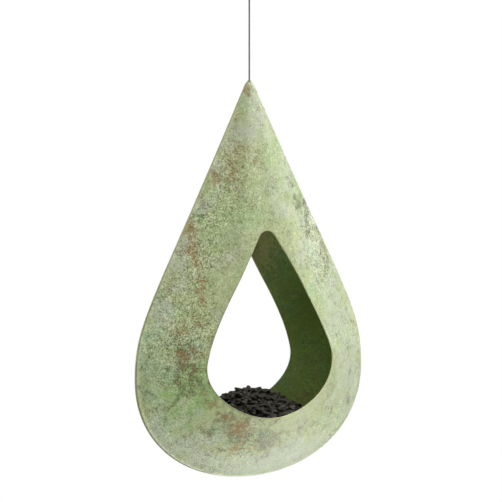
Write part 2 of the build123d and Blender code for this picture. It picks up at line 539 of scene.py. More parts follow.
lip_reach = 1.6 * MM
calm_reach = 14 * MM
line_edge, line_core = 2.7 * MM, 0.9 * MM  # of the dark line, from the seam
dark_from, dark_to = 150 * MM, 300 * MM  # below the tip: where it starts, and is full
faintest_line = 0.15
shade_reach = 12 * MM
shade_from, shade_to = 250 * MM, 310 * MM  # below the tip
shade_strength = 0.35
rim_distance = np.linalg.norm(rows - (middle + bulge), axis=-1)
seam_distance = np.linalg.norm(rows - rows[0], axis=-1)
below_tip = rows[..., 2]
lip_mask = np.exp(-((rim_distance / lip_reach) ** 2))
# The dark line along the seam is partly the dark joint and partly painted shade where the edge turns
# away from the light.
dark_line = fade(seam_distance, line_edge, line_core)
dark_line *= np.maximum(fade(below_tip, dark_from, dark_to), faintest_line)
# Painted shade on the rolled edge near the seam, low down.
painted_edge_shade = fade(seam_distance, shade_reach, 0) * fade(below_tip, shade_from, shade_to)
seam_line_and_painted_shade = np.clip(dark_line + shade_strength * painted_edge_shade, 0, 1)
calm = fade(rim_distance, 0, calm_reach) * fade(seam_distance, 0, calm_reach)
print("share of points on the dark line:", round(float((dark_line > 0.1).mean()), 3))

# %% [markdown]
# ## All the way round
#
# So far there is only a right half of each shell, because a teardrop is the same on both sides.
# Its mirror image is added column by column. The CAD model's skin is a little flatter than the
# curve it follows, so this one is drawn in until it fits inside.


# %% Mirror the rows
def whole_ring(half):
    """A right half's rows with the left half's columns added, so that they go all the way round."""
    mirrored = half[:, -2:0:-1].copy()
    if half.ndim == 3:
        mirrored[..., 0] *= -1
    return np.concatenate([half, mirrored], axis=1)


draw_in = -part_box("front_shell")[0].y / rows[..., 1].max()
ring = whole_ring(rows)
flat_points = ring.reshape(-1, 3)
print("points in a shell:", len(flat_points), " drawn in to:", round(draw_in, 4))

# %% [markdown]
# ## Dents
#
# Hand-beaten sheet is never quite even. Slow noise pushes the skin in by up to a millimetre, and
# quicker noise adds smaller dents. The skin is only ever pushed in, so it stays inside the CAD
# model, and a hole is left clear at the tip for the bush.

# %% Dented points
dent_depth = 0.9 * MM
broad_dent, broad_share = 45 * MM, 0.42
small_dent, small_share = 14 * MM, 0.13
calm_ring = whole_ring(calm).ravel()


def dents(points, seed):
    """How far hand work has pushed each point in, from about 0 to 1."""
    shift = Vector((seed, 0, 0))
    pushed = []
    for p in points:
        broad = noise.noise(Vector(p) * (1 / broad_dent) + shift)
        small = noise.noise(Vector(p) * (1 / small_dent) + shift)
        pushed.append(0.5 + broad_share * broad + small_share * small)
    return np.array(pushed)


def shell_points(side, seed):
    """The points of the front shell, where side is -1, or of the rear one, where it is 1."""
    x, depth, below = flat_points.T
    depth = depth * draw_in - dents(flat_points, seed) * calm_ring * dent_depth
    near_tip = (np.abs(x) < stem_hole_radius) & (below < stem_hole_depth)
    hole = np.sqrt(np.clip(stem_hole_radius**2 - x**2, 0, None))
    depth = np.where(near_tip, np.maximum(depth, hole), depth)
    return np.stack([x, side * depth, tip.z - below], axis=1)


print("points that the dents reach:", int((calm_ring > 0).sum()))

# %% [markdown]
# ## The two shells
#
# The halves are the same pressing but were beaten and finished apart, so each gets its own dents.
# The outside and the inside take different materials, because little rain or light reaches the
# inside: the first material is the outside's, and the second begins after the lip. The lip is
# painted pale on one side of the opening, partly a light edge and partly a painted highlight, and
# dark on the other, partly dirt and partly painted shade.


# %% Front and rear shell
def add_mask(piece, name, values):
    """A number at each vertex, from 0 to 1, for a material to read."""
    mask = piece.data.attributes.new(name, "FLOAT", "POINT")
    mask.data.foreach_set("value", np.asarray(values, np.float32).ravel())


# Along X on the rear shell, the lip is pale before the first place and dark beyond the second: the
# pale side is partly a light edge and partly a painted highlight, the dark side partly dirt and
# partly painted shade. The front shell is the same pressing turned about, so there X counts the
# other way.
pale_before, dark_beyond = -15 * MM, 35 * MM
lip_ring = whole_ring(lip_mask).ravel()
face_row = np.repeat(np.arange(len(ring)), ring.shape[1])
shells = {}
for name, side, seed in (("front_shell", -1, 3.0), ("rear_shell", 1, 11.0)):
    faces = grid_faces(len(ring), ring.shape[1], True, True)
    if side > 0:
        faces = faces[:, ::-1]
    shell = make_piece("patina_" + name, shell_points(side, seed), faces, "feeder", "verdigris")
    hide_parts(name)
    # One side of the lip is painted pale, partly a light edge and partly a painted highlight; the
    # other is painted dark, partly dirt and partly painted shade.
    pale_side = fade(side * flat_points[:, 0], dark_beyond, pale_before)
    add_mask(shell, "lip", lip_ring * pale_side)
    add_mask(shell, "lip_dirt_and_shade", lip_ring * (1 - pale_side))
    # The seam mask holds the dark seam line, partly painted shade, and painted shade on the lower
    # edges.
    add_mask(shell, "seam", whole_ring(seam_line_and_painted_shade))
    shell.data.polygons.foreach_set("material_index", (face_row >= inside_starts).astype(np.int32))
    shells[name] = shell
print("faces inside each shell:", int((face_row >= inside_starts).sum()))

# %% [markdown]
# ## The weld's path
#
# A bead of weld fills the groove between the halves. It follows the seam's outline, moved in by
# its own radius so that it only just stands proud, and it stops short of the bush at the tip.

# %% Line of the bead
bead_radius = 1.0 * MM
bead_t = np.interp(np.linspace(0, spread[-1], 2 * half_columns + 1), spread, fine_t)
bead_path = on_outline(seam_outline(bead_radius / MM), bead_t)
bead_path = np.stack([bead_path[:, 0], 0 * bead_path[:, 0], tip.z - bead_path[:, 1]], axis=1)
in_hole = (bead_path[:, 0] < stem_hole_radius) & (bead_path[:, 2] > tip.z - stem_hole_depth)
right_bead = bead_path[~in_hole]
left_bead = right_bead[::-1] * (-1, 1, 1)
bead_line = np.concatenate([right_bead, left_bead[1:]])
bead_steps = np.linalg.norm(np.diff(bead_line, axis=0), axis=1)
bead_travel = np.concatenate([[0], np.cumsum(bead_steps)])
print("length of the weld, mm:", round(bead_travel[-1] / MM))

# %% [markdown]
# ## The weld bead
#
# A welder lays a bead as a row of small overlapping puddles, so its thickness rises and falls
# every few millimetres. A tube whose radius does the same looks right even in outline. Its upper
# part has kept the sheet's colour and its lower part has darkened, which a mask records.

# %% Weld bead
puddle = 3.1 * MM
wobble_length = 9 * MM
plain_share, ripple_share, wobble_share = 0.82, 0.13, 0.05  # of the bead's radius
least_darkened = 0.1
bead_sides = 10
wobble = np.array([noise.noise(Vector((s / wobble_length, 5, 0))) for s in bead_travel])
ripple = np.abs(np.sin(np.pi * bead_travel / puddle + 1.5 * wobble))
thickness = plain_share + ripple_share * ripple + wobble_share * wobble
bead = tube(bead_line, bead_radius * thickness, bead_sides)
weld_bead = make_piece("weld_bead", *bead, "feeder", "weld")
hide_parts("seam_weld")
darkened = np.maximum(fade(tip.z - bead[0][:, 2], dark_from, dark_to), least_darkened)
add_mask(weld_bead, "clean", 1 - darkened)
print("puddles in the bead:", round(bead_travel[-1] / puddle))

# %% [markdown]
# ## The mound of seed
#
# Seed is poured in through the front opening, so it makes a mound with gentle sides. Its height is
# read from a short profile: how far below the top it lies at a distance from the middle. The
# bowl is narrower from front to back, so the mound is too.

# %% Height of the mound
heap_top = 311 * MM  # below the tip
heap_narrowing = 1.43  # how much steeper it is from front to back
# How far below its top the mound lies, and how far out along X that is.
heap_profile = np.array([(0, 0), (0.4, 6), (2, 14), (8, 29), (16, 44), (25, 60), (50, 104)]) * MM


def heap_drop(x, y):
    """How far the mound lies below its top at a place."""
    reach = math.hypot(x, y * heap_narrowing)
    return float(np.interp(reach, heap_profile[:, 1], heap_profile[:, 0]))


print("drop 50 mm from the middle, mm:", round(heap_drop(50 * MM, 0) / MM, 1))

# %% [markdown]
# ## Room between the halves
#
# Seeds have to stay between the shells. At any place on the middle plane, the nearest point of
# the inner skin says how deep the hollow is there. A search tree finds it fast, which matters,
# because thousands of tries follow.

# %% Room inside
opening_depth = 41.5 * MM  # how far seed may reach where the opening is
opening_side = on_outline(opening_outline, np.linspace(0, 3, 601))
opening_bottom = opening_side[-1, 1]
inner_points = whole_ring(inner).reshape(-1, 3)
finder = KDTree(len(inner_points))
for i, (x, depth, below) in enumerate(inner_points):
    finder.insert((x, below, 0), i)
finder.balance()


def room(x, below):
    """How far from the middle plane a seed may lie at a place, inside the halves."""
    if below < opening_bottom and abs(x) < np.interp(below, opening_side[:, 1], opening_side[:, 0]):
        return opening_depth
    nearest = finder.find((x, below, 0))[1]
    return inner_points[nearest][1]


print("room low in the bowl, mm:", round(room(0, 370 * MM) / MM, 1))

# %% [markdown]
# ## A bed under the seeds
#
# Gaps between the top seeds would show an empty bowl, and filling it with whole seeds would take
# thousands that nobody sees. A lumpy dark bed a few millimetres below the mound's face does their
# work. In each direction it reaches out until it would touch a shell, which is found by halving.

# %% Seed bed
bed_drop = 3.5 * MM
bed_clearance = 0.8 * MM
bed_limit = 104 * MM
bed_depth = 70 * MM
lump_height = 0.9 * MM
lump_size = 6 * MM
halvings = 16
bed_angles = np.linspace(0, 2 * np.pi, 120, endpoint=False)
bed_steps = np.linspace(0, 1, 40)


def bed_reach(angle):
    """How far the bed goes out from its middle in one direction."""
    low, high = 0.0, bed_limit
    for _ in range(halvings):
        reach = (low + high) / 2
        x, y = reach * math.cos(angle), reach * math.sin(angle)
        if abs(y) < room(x, heap_top + bed_drop + heap_drop(x, y)) - bed_clearance:
            low = reach
        else:
            high = reach
    return reach


bed_reaches = [bed_reach(angle) for angle in bed_angles]
bed_points = []
for step in bed_steps:
    for angle, reach in zip(bed_angles, bed_reaches):
        x, y = step * reach * math.cos(angle), step * reach * math.sin(angle)
        lump = lump_height * noise.noise(Vector((x, y, 0)) / lump_size)
        bed_points.append((x, y, tip.z - heap_top - bed_drop - heap_drop(x, y) + lump))
bed_faces = [list(f) for f in grid_faces(len(bed_steps), len(bed_angles), False, True)]
lowest = len(bed_points)
bed_points.append((0, 0, tip.z - heap_top - bed_depth))
outer_ring = lowest - len(bed_angles)
for k in range(len(bed_angles)):
    bed_faces.append([outer_ring + k, lowest, outer_ring + (k + 1) % len(bed_angles)])
seed_bed = make_piece("seed_bed", bed_points, bed_faces, "feeder", "seed")
print("the bed reaches out, mm:", round(max(bed_reaches) / MM))

# %% [markdown]
# ## One seed
#
# A sunflower husk is a flattened drop, pointed at one end, with a keel along both faces. Nine
# rings of ten points are enough at this size, and they keep hundreds of seeds light.


# %% One seed
seed_rings = 9
seed_sides = 10
keel_height = 0.12  # of the thickness
fullness = 0.8  # below 1 the husk is plumper than a plain oval


def seed_shape(length, width, thickness, blunt):
    """A husk along X. blunt moves its widest place towards one end."""
    along = np.linspace(0, np.pi, seed_rings)
    around = np.linspace(0, 2 * np.pi, seed_sides, endpoint=False)
    keel = 1 + keel_height * np.cos(2 * around) ** 4
    rings = []
    for a in along:
        swell = math.sin(a) ** fullness * (1 + blunt * math.cos(a))
        y = np.cos(around) * swell * width / 2
        z = np.sin(around) * swell * thickness / 2 * keel
        rings.append(np.stack([np.full_like(y, -math.cos(a) * length / 2), y, z], axis=1))
    return np.concatenate(rings), grid_faces(len(along), len(around), False, True)


def turned(spin, tilt, roll):
    """The rotation of a seed: rolled about its length, tilted, then spun about the upright."""
    spun = ((math.cos(spin), -math.sin(spin), 0), (math.sin(spin), math.cos(spin), 0), (0, 0, 1))
    tilted = ((math.cos(tilt), 0, math.sin(tilt)), (0, 1, 0), (-math.sin(tilt), 0, math.cos(tilt)))
    rolled = ((1, 0, 0), (0, math.cos(roll), -math.sin(roll)), (0, math.sin(roll), math.cos(roll)))
    return np.array(spun) @ np.array(tilted) @ np.array(rolled)


print("points on a seed:", len(seed_shape(14 * MM, 6 * MM, 4 * MM, 0.2)[0]))

# %% [markdown]
# ## Several hundred seeds
#
# Poured seeds lie mostly flat but point every way. Each is tried at a random place in one of
# three layers at the mound's face, and kept if it stays clear of the shells. A physics drop would
# look much the same and take minutes. The seeds share one mesh, and each has its own tone, kept
# as a mask.

# %% Pour the seeds
picker = np.random.default_rng(7)
seed_goal = 760
pour_half_width, pour_half_depth = 104, 42  # mm
seed_layers = [0.0, 1.8, 3.4]  # above the deepest layer, mm
deepest_layer = 3.6  # below the mound's face, mm
seed_margin = 3.5 * MM
seed_clearance = 0.6 * MM
bowl_end = 392 * MM  # no seed fits below this
seed_lengths, seed_widths, seed_thicknesses = (11.5, 16), (5.0, 6.8), (3.2, 4.4)  # mm
bluntness = (0.1, 0.35)
tilt_spread, roll_spread = 0.28, 0.5  # radians
seed_parts = []
seed_tones = []
while len(seed_parts) < seed_goal:
    x = picker.uniform(-pour_half_width, pour_half_width) * MM
    y = picker.uniform(-pour_half_depth, pour_half_depth) * MM
    below = heap_top + heap_drop(x, y) + (deepest_layer - picker.choice(seed_layers)) * MM
    length = picker.uniform(*seed_lengths) * MM
    if abs(y) > room(x, below) - seed_margin or below > bowl_end:
        continue
    width = picker.uniform(*seed_widths) * MM
    thickness = picker.uniform(*seed_thicknesses) * MM
    points, faces = seed_shape(length, width, thickness, picker.uniform(*bluntness))
    spin = picker.uniform(0, 2 * np.pi)
    turn = turned(spin, picker.normal(0, tilt_spread), picker.normal(0, roll_spread))
    placed = points @ turn.T + np.array((x, y, tip.z - below))
    if np.abs(placed[:, 1]).max() > room(x, below) - seed_clearance:
        continue
    seed_parts.append((placed, faces))
    seed_tones += [picker.uniform(0, 1)] * len(points)
seeds = make_piece("sunflower_seeds", *joined(seed_parts), "feeder", "seed")
add_mask(seeds, "tone", seed_tones)
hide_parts("seed_fill")
print("seeds:", len(seed_parts))

# %% [markdown]
# ## Helpers for nodes
#
# A material is a tree of nodes. Drawn by hand in the shader editor it is quick to try out, but
# here each node would take several lines, so a few helpers let every material read as a list of
# what is on the surface. The first two feed a node's inputs and make the node. The third turns
# everyday colour levels into the linear ones that a shader takes.


# %% Make and feed nodes
def feed(tree, socket, value):
    """Sets an input to a number or colour, or links it to another node's output."""
    if isinstance(value, bpy.types.NodeSocket):
        tree.links.new(value, socket)
    else:
        socket.default_value = value


def add_node(tree, kind, inputs=(), **settings):
    """A node with its settings and inputs."""
    node = tree.nodes.new(kind)
    for name, value in settings.items():
        setattr(node, name, value)
    for name, value in dict(inputs).items():
        feed(tree, node.inputs[name], value)
    return node


def srgb(*levels):
    """A colour given as 0 to 255 levels, as a shader takes it."""
    linear = [v / 255 / 12.92 if v <= 10 else ((v / 255 + 0.055) / 1.055) ** 2.4 for v in levels]
    return (*linear, 1)


print("middle grey, as a shader takes it:", round(srgb(128, 128, 128)[0], 3))

# %% [markdown]
# ## Noise and arithmetic
#
# Crust, rust and grain are all noise of some size, cut off at a level, with its parts added up or
# laid over each other. These helpers do that. Noise is worked out anywhere in space, so nothing
# has to be unwrapped, and the finish goes on over the rim without a break.


# %% Noise and arithmetic
def maths(tree, operation, first, second=0.0, third=0.0):
    """Arithmetic on numbers or outputs."""
    terms = {0: first, 1: second, 2: third}
    return add_node(tree, "ShaderNodeMath", terms, operation=operation).outputs[0]


def mixed(tree, amount, first, second):
    """One colour over another. A mix node's inputs 6 and 7 are its colours."""
    inputs = {0: amount, 6: first, 7: second}
    return add_node(tree, "ShaderNodeMix", inputs, data_type="RGBA").outputs[2]


def rescaled(tree, value, first, last, low=0.0, high=1.0, kind="LINEAR"):
    """Turns the numbers from first to last into those from low to high."""
    limits = {"Value": value, "From Min": first, "From Max": last, "To Min": low, "To Max": high}
    return add_node(tree, "ShaderNodeMapRange", limits, interpolation_type=kind).outputs["Result"]


def ramp(tree, value, low, high):
    """0 below low, 1 above high, smooth between."""
    return rescaled(tree, value, low, high, kind="SMOOTHSTEP")


def wave(tree, place, scale, detail=2.0, offset=(0, 0, 0), warp=0.0):
    """Noise from 0 to 1 at a place. Two waves with different offsets don't share their spots."""
    moved = add_node(tree, "ShaderNodeVectorMath", {0: place, 1: offset}, operation="ADD")
    inputs = {"Vector": moved.outputs[0], "Scale": scale, "Detail": detail, "Distortion": warp}
    return add_node(tree, "ShaderNodeTexNoise", inputs).outputs["Fac"]


print("spots of a noise of scale 640, mm:", round(1 / 640 / MM, 1))

# %% [markdown]
# ## Groups and materials
#
# A node group is a part of a tree with sockets of its own. It is used here for an effect that
# several materials share: copies of the nodes would drift apart, and a group is changed in one
# place. Each material then starts from a plain Principled BSDF and the object's own coordinates,
# and may read the vertex masks and be given a relief.


# %% Start a group or a material
def new_group(name, inputs, outputs):
    """An empty node group with its sockets, and its input and output nodes."""
    group = bpy.data.node_groups.new(name, "ShaderNodeTree")
    kinds = {"colour": "NodeSocketColor", "value": "NodeSocketFloat", "vector": "NodeSocketVector"}
    for socket, (kind, default) in inputs.items():
        made = group.interface.new_socket(socket, in_out="INPUT", socket_type=kinds[kind])
        if default is not None:
            made.default_value = default
    for socket, kind in outputs.items():
        group.interface.new_socket(socket, in_out="OUTPUT", socket_type=kinds[kind])
    return group, group.nodes.new("NodeGroupInput"), group.nodes.new("NodeGroupOutput")


def new_material(name):
    """A material with a Principled BSDF, its tree, and the object's coordinates."""
    material = bpy.data.materials.new(name)
    material.use_nodes = True
    tree = material.node_tree
    where = add_node(tree, "ShaderNodeTexCoord").outputs["Object"]
    print("material:", name)
    return material, tree, tree.nodes["Principled BSDF"], where


def mask_value(tree, name):
    """A vertex mask, as a material reads it."""
    return add_node(tree, "ShaderNodeAttribute", attribute_name=name).outputs["Fac"]


def emboss(tree, shader, height, strength, depth):
    """Gives a surface a relief."""
    inputs = {"Height": height, "Strength": strength, "Distance": depth}
    relief = add_node(tree, "ShaderNodeBump", inputs)
    tree.links.new(relief.outputs["Normal"], shader.inputs["Normal"])


print("materials so far:", len(bpy.data.materials))

# %% [markdown]
# ## Verdigris
#
# This is sheet metal that has been treated to look like old copper. It has a thin pale green
# crust, mottled at every scale. From far away it shows soft drifts of green, blue-green and grey.
# From near it is crackled and pitted every millimetre or two, with pale specks where the crust is
# thick and dark metal in the pits. A painted texture would fit one shape only, so it is built
# from noise as a group: its colours and the amount of each effect can be set for each material.

# %% Sockets of the crust
verdigris, given, made = new_group(
    "verdigris crust",
    {
        "Where": ("vector", None),
        "Main": ("colour", srgb(166, 186, 138)),
        "Pale": ("colour", srgb(206, 216, 176)),
        "Blue green": ("colour", srgb(140, 168, 138)),
        "Green": ("colour", srgb(146, 172, 112)),
        "Grey": ("colour", srgb(168, 166, 148)),
        "Ash": ("colour", srgb(174, 182, 158)),
        "Moss": ("colour", srgb(134, 168, 96)),
        "Rust": ("colour", srgb(128, 92, 60)),
        "Dark": ("colour", srgb(84, 88, 58)),
        "Grain": ("value", 0.6),
        "Coarse": ("value", 0.0),
        "Rust amount": ("value", 0.0),
        "Soot and shade amount": ("value", 0.0),
        "Teal amount": ("value", 0.0),
        "Ash amount": ("value", 0.0),
        "Moss amount": ("value", 0.0),
    },
    {"Color": "colour", "Height": "value", "Roughness": "value"},
)
crust_place = given.outputs["Where"]
print("sockets of the crust:", len(verdigris.interface.items_tree))

# %% [markdown]
# ## Soft drifts of colour
#
# The treatment was sponged on, so its tones lie over each other in ragged patches. Each drift is
# one noise cut off at a level. An amount from a vertex mask lifts the noise, so a drift grows
# where it is wanted and still keeps its natural edge.


# %% Drifts
patch_growth = 0.34  # how far an amount of 1 lifts the noise
patch_edge = 0.26  # how softly a patch ends


def patchy(scale, offset, amount, start):
    """Ragged patches: they cover more as amount rises, and least where it is 0."""
    cloud = wave(verdigris, crust_place, scale, detail=6.0, offset=offset, warp=0.8)
    lifted = maths(verdigris, "MULTIPLY_ADD", amount, patch_growth, cloud)
    return ramp(verdigris, lifted, start, start + patch_edge)


# Each drift is (colour, amount, scale, offset, where its edge starts, strength).
drifts = [
    ("Blue green", given.outputs["Teal amount"], 34, (3.1, 0.4, 1.7), 0.5, 1.0),
    ("Green", 0.0, 17, (5.7, 8.4, 0.2), 0.42, 1.0),
    ("Grey", 0.0, 22, (7.7, 2.4, 0.2), 0.5, 0.6),
    ("Ash", given.outputs["Ash amount"], 45, (8.3, 5.1, 2.6), 0.52, 0.8),
    ("Moss", given.outputs["Moss amount"], 90, (1.1, 6.2, 4.5), 0.6, 0.8),
]
base = given.outputs["Main"]
for name, amount, scale, offset, start, strength in drifts:
    cover = maths(verdigris, "MULTIPLY", patchy(scale, offset, amount, start), strength)
    base = mixed(verdigris, cover, base, given.outputs[name])
print("drifts:", len(drifts))

# %% [markdown]
# ## Wear
#
# One number says how thick the crust is at each spot, and it rules colour, relief and gloss alike,
# so that pits are dark, deep and shiny together. A fine and a medium noise are added up, and a slow
# one calms them in some places and roughens them in others. Then come a broad noise, and soot with
# painted shade, which counts as thin dark crust.


# %% Thickness of the crust
def added(total, cloud, amount):
    """A total with a noise added, as much above its middle as below."""
    return maths(verdigris, "MULTIPLY_ADD", maths(verdigris, "SUBTRACT", cloud, 0.5), amount, total)


fine = wave(verdigris, crust_place, 640, detail=2.0, offset=(1.3, 5.5, 2.2))
medium = wave(verdigris, crust_place, 230, detail=3.0, offset=(4.4, 9.1, 6.2), warp=0.3)
broad = wave(verdigris, crust_place, 62, detail=4.0, offset=(9.9, 1.2, 3.6), warp=0.5)
slow = wave(verdigris, crust_place, 19, detail=3.0, offset=(6.1, 0.3, 9.4))
calm_or_rough = maths(verdigris, "MULTIPLY_ADD", slow, 2.2, -0.25)
strength = maths(verdigris, "MULTIPLY", given.outputs["Grain"], calm_or_rough)
strength = maths(verdigris, "MULTIPLY_ADD", given.outputs["Coarse"], 0.5, strength)
wear = added(added(0.0, fine, 2.6), medium, 1.3)
wear = maths(verdigris, "MULTIPLY", wear, strength)
wear = added(wear, broad, 0.7)
soot_and_shade = patchy(75, (0.8, 4.9, 7.1), given.outputs["Soot and shade amount"], 0.6)
wear = maths(verdigris, "MULTIPLY_ADD", soot_and_shade, -0.45, wear)
print("nodes in the crust so far:", len(verdigris.nodes))

# %% [markdown]
# ## Pits, specks and rust
#
# Where wear is low the dark metal shows, and where it is high the crust is chalky and pale. Rust
# has come through in small blots and is strongest in the pits. Three outputs leave the group:
# the colour, the height for a relief, and the roughness.

# %% Colour of the crust
out_of_pit = ramp(verdigris, wear, low=-0.75, high=0.16)
speck = ramp(verdigris, wear, low=0.06, high=0.68)
colour = mixed(verdigris, out_of_pit, given.outputs["Dark"], base)
colour = mixed(verdigris, speck, colour, given.outputs["Pale"])
blots = patchy(230, (2.9, 7.3, 8.8), given.outputs["Rust amount"], 0.57)
in_pits = maths(verdigris, "MULTIPLY_ADD", ramp(verdigris, wear, low=-0.6, high=0.5), -0.6, 0.9)
rust = maths(verdigris, "MULTIPLY", blots, in_pits)
colour = mixed(verdigris, rust, colour, given.outputs["Rust"])
verdigris.links.new(colour, made.inputs["Color"])
verdigris.links.new(wear, made.inputs["Height"])
roughness = rescaled(verdigris, wear, -0.6, 0.6, low=0.5, high=0.68)
verdigris.links.new(roughness, made.inputs["Roughness"])
print("nodes in the crust:", len(verdigris.nodes))

# %% [markdown]
# ## A material with the crust
#
# The outside, the inside and the weld all carry the crust, each with its own colours. One function
# makes such a material: it sets the group's inputs, lays a few masked colours over the crust, such
# as the pale side of the lip, partly a painted highlight, and links what comes out to the Principled
# BSDF.


# %% Verdigris material
crust_relief = 0.4 * MM


def verdigris_material(name, tones, masks, bump, shine=0.5):
    """A material with the crust. tones are the group's inputs, as values or as the names of vertex
    masks, and masks are (vertex mask, colour, amount), laid over the crust in turn."""
    material, tree, shader, where = new_material(name)
    crust = add_node(tree, "ShaderNodeGroup", node_tree=verdigris)
    tree.links.new(where, crust.inputs["Where"])
    for socket, value in tones.items():
        if isinstance(value, str):
            value = mask_value(tree, value)
        feed(tree, crust.inputs[socket], value)
    colour = crust.outputs["Color"]
    for mask, over, amount in masks:
        colour = mixed(tree, maths(tree, "MULTIPLY", mask_value(tree, mask), amount), colour, over)
    tree.links.new(colour, shader.inputs["Base Color"])
    tree.links.new(crust.outputs["Roughness"], shader.inputs["Roughness"])
    emboss(tree, shader, crust.outputs["Height"], bump, crust_relief)
    shader.inputs["Specular IOR Level"].default_value = shine
    return material


print("relief of the crust, mm:", round(crust_relief / MM, 1))

# %% [markdown]
# ## The outside
#
# The weather side is the palest: yellow-green crust with drifts of blue-green, grey, moss and pale
# ash, and rust, soot and painted shade in patches. Masks at the vertices say where each is strong,
# and three more darken the seam, partly with painted shade, paint one side of the lip pale, partly
# as a painted highlight, and darken the rest of the lip with dirt and painted shade.

# %% Outside
outside = verdigris_material(
    "verdigris_outside",
    {
        "Main": srgb(166, 175, 127),
        "Pale": srgb(208, 215, 177),
        "Blue green": srgb(152, 174, 138),
        "Green": srgb(156, 176, 122),
        "Grey": srgb(172, 168, 150),
        "Rust": srgb(126, 98, 54),
        "Dark": srgb(88, 90, 52),
        "Grain": 0.68,
        "Coarse": "coarse",
        "Rust amount": "rust",
        "Soot and shade amount": "soot_and_shade",
        "Teal amount": "teal",
        "Ash amount": "ash",
        "Moss amount": "moss",
    },
    masks=[
        # Dark line along the seam: partly the dark joint, partly painted shade.
        ("seam", srgb(84, 82, 50), 0.8),
        # Pale lip on one side: partly a light edge, partly a painted highlight.
        ("lip", srgb(206, 210, 160), 0.75),
        # Dark lip on the other side: partly dirt, partly painted shade.
        ("lip_dirt_and_shade", srgb(96, 92, 56), 0.75),
    ],
    bump=0.35,
)

# %% [markdown]
# ## The inside
#
# The inside got a thinner, greener coat, and no rain has bleached it. Its tones are deeper, and in
# places it has worn to a dusty tan. The tan takes the group's rust socket, since both are ragged
# blots, and the mask named umber says where it is.

# %% Inside
inside = verdigris_material(
    "verdigris_inside",
    {
        "Main": srgb(116, 141, 55),
        "Pale": srgb(140, 156, 80),
        "Blue green": srgb(108, 142, 78),
        "Green": srgb(96, 124, 40),
        "Grey": srgb(122, 110, 58),
        "Rust": srgb(190, 176, 122),
        "Dark": srgb(68, 78, 30),
        "Ash": srgb(124, 132, 74),
        "Grain": 0.7,
        "Rust amount": "umber",
        "Teal amount": 0.2,
    },
    masks=[],
    bump=0.3,
)

# %% [markdown]
# ## The weld's finish
#
# Dirt and rust gather on the rough bead, so it is darker than the sheet and hardly shines. Near
# the tip, where the rain washes it, the mask named clean brings it back towards the sheet's
# colour.

# %% Weld finish
weld_finish = verdigris_material(
    "verdigris_weld",
    {
        "Main": srgb(84, 88, 52),
        "Green": srgb(80, 92, 50),
        "Pale": srgb(120, 122, 80),
        "Rust amount": 0.3,
        "Soot and shade amount": 0.3,
    },
    masks=[("clean", srgb(150, 142, 104), 0.85)],
    bump=0.5,
    shine=0.2,
)
weld_bead.data.materials.append(weld_finish)
